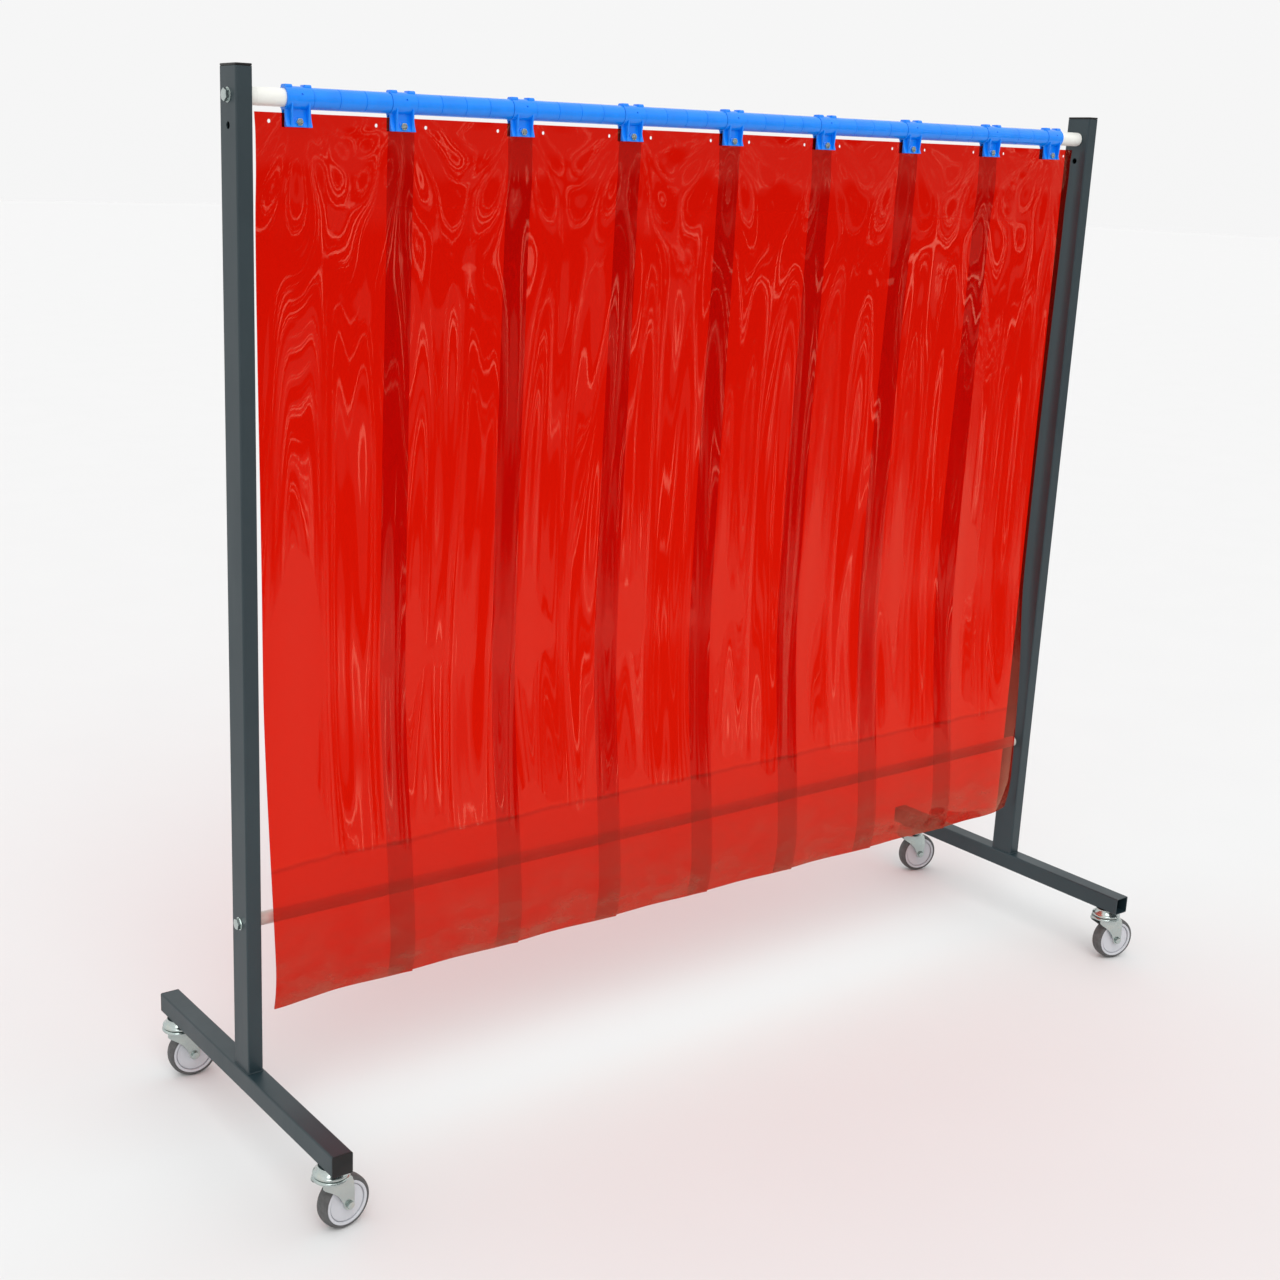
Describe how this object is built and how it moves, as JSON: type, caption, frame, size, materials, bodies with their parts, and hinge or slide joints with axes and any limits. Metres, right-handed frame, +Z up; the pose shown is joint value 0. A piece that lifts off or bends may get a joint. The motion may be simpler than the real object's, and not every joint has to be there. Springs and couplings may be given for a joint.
{
  "type": "welding curtain screen",
  "caption": "Mobile welding screen: overlapped translucent strips hung by hooks on a rail between T-shaped tube legs, on swivel casters.",
  "frame": {"origin": "centre of the bounding box in plan, on the ground plane the wheels stand on", "axes": "+X along the rail from the left leg to the right leg as seen from the front, +Y to the back, +Z up; the curtain hangs in front of the tie bar"},
  "size_m": [2.226, 0.7256, 1.961],
  "materials": {
    "dark_powder_coat": "semi-gloss powder coat on steel tube",
    "cream_powder_coat": "glossy pale powder coat on round steel tube",
    "black_plastic": "moulded black plastic cap",
    "blue_plastic": "glossy moulded blue plastic",
    "red_strip": "flexible glossy translucent red PVC",
    "zinc_plate": "zinc-plated pressed steel",
    "grey_rubber": "grey rubber tyre",
    "pale_wheel_plastic": "pale grey moulded plastic"
  },
  "bodies": {
    "frame": {"post_left": "dark_powder_coat", "foot_left": "dark_powder_coat", "post_cap_left": "black_plastic", "rail_bolt_left": "zinc_plate", "tie_bolt_left": "zinc_plate", "post_right": "dark_powder_coat", "foot_right": "dark_powder_coat", "post_cap_right": "black_plastic", "rail_bolt_right": "zinc_plate", "tie_bolt_right": "zinc_plate", "foot_plug_front_left": "black_plastic", "foot_plug_rear_left": "black_plastic", "foot_plug_rear_right": "black_plastic", "hook_rail": "cream_powder_coat", "tie_bar": "cream_powder_coat", "front_left_caster_head": "zinc_plate", "rear_left_caster_head": "zinc_plate", "front_right_caster_head": "zinc_plate", "rear_right_caster_head": "zinc_plate"},
    "sleeves": {"sleeve_1": "blue_plastic", "sleeve_2": "blue_plastic", "sleeve_3": "blue_plastic", "sleeve_4": "blue_plastic", "sleeve_5": "blue_plastic", "sleeve_6": "blue_plastic", "sleeve_7": "blue_plastic", "sleeve_8": "blue_plastic"},
    "curtain": {"hook_1": "blue_plastic", "hook_2": "blue_plastic", "hook_3": "blue_plastic", "hook_4": "blue_plastic", "hook_5": "blue_plastic", "hook_6": "blue_plastic", "hook_7": "blue_plastic", "hook_8": "blue_plastic", "hook_9": "blue_plastic", "strip_1": "red_strip", "strip_2": "red_strip", "strip_3": "red_strip", "strip_4": "red_strip", "strip_5": "red_strip", "strip_6": "red_strip", "strip_7": "red_strip", "strip_8": "red_strip"},
    "front_left_swivel": {"front_left_caster_fork": "zinc_plate", "front_left_axle": "zinc_plate"},
    "front_left_wheel": {"front_left_wheel_centre": "pale_wheel_plastic", "front_left_tyre": "grey_rubber"},
    "rear_left_swivel": {"rear_left_caster_fork": "zinc_plate", "rear_left_axle": "zinc_plate"},
    "rear_left_wheel": {"rear_left_wheel_centre": "pale_wheel_plastic", "rear_left_tyre": "grey_rubber"},
    "front_right_swivel": {"front_right_caster_fork": "zinc_plate", "front_right_axle": "zinc_plate"},
    "front_right_wheel": {"front_right_wheel_centre": "pale_wheel_plastic", "front_right_tyre": "grey_rubber"},
    "rear_right_swivel": {"rear_right_caster_fork": "zinc_plate", "rear_right_axle": "zinc_plate"},
    "rear_right_wheel": {"rear_right_wheel_centre": "pale_wheel_plastic", "rear_right_tyre": "grey_rubber"}
  },
  "joints": [
    {"name": "curtain_slide", "type": "slide", "parent": "frame", "child": "sleeves", "axis": [1, 0, 0], "range_m": [-0.017, 0.017]},
    {"name": "curtain_swing", "type": "hinge", "parent": "sleeves", "child": "curtain", "pos_m": [-0.02075, 0, 1.912], "axis": [-1, 0, 0], "range_deg": [0, 60]},
    {"name": "front_left_swivel_joint", "type": "hinge", "parent": "frame", "child": "front_left_swivel", "pos_m": [-1.07925, -0.32, 0.109], "axis": [0, 0, 1], "continuous": true},
    {"name": "front_left_wheel_joint", "type": "hinge", "parent": "front_left_swivel", "child": "front_left_wheel", "pos_m": [-1.05343, -0.31697, 0.05], "axis": [-0.1167, 0.9932, 0], "continuous": true},
    {"name": "rear_left_swivel_joint", "type": "hinge", "parent": "frame", "child": "rear_left_swivel", "pos_m": [-1.07925, 0.32, 0.109], "axis": [0, 0, 1], "continuous": true},
    {"name": "rear_left_wheel_joint", "type": "hinge", "parent": "rear_left_swivel", "child": "rear_left_wheel", "pos_m": [-1.05341, 0.3171, 0.05], "axis": [0.1115, 0.9938, 0], "continuous": true},
    {"name": "front_right_swivel_joint", "type": "hinge", "parent": "frame", "child": "front_right_swivel", "pos_m": [1.03775, -0.32, 0.109], "axis": [0, 0, 1], "continuous": true},
    {"name": "front_right_wheel_joint", "type": "hinge", "parent": "front_right_swivel", "child": "front_right_wheel", "pos_m": [1.06296, -0.32633, 0.05], "axis": [0.2436, 0.9699, 0], "continuous": true},
    {"name": "rear_right_swivel_joint", "type": "hinge", "parent": "frame", "child": "rear_right_swivel", "pos_m": [1.03775, 0.32, 0.109], "axis": [0, 0, 1], "continuous": true},
    {"name": "rear_right_wheel_joint", "type": "hinge", "parent": "rear_right_swivel", "child": "rear_right_wheel", "pos_m": [1.06269, 0.31266, 0.05], "axis": [0.2823, 0.9593, 0], "continuous": true}
  ]
}
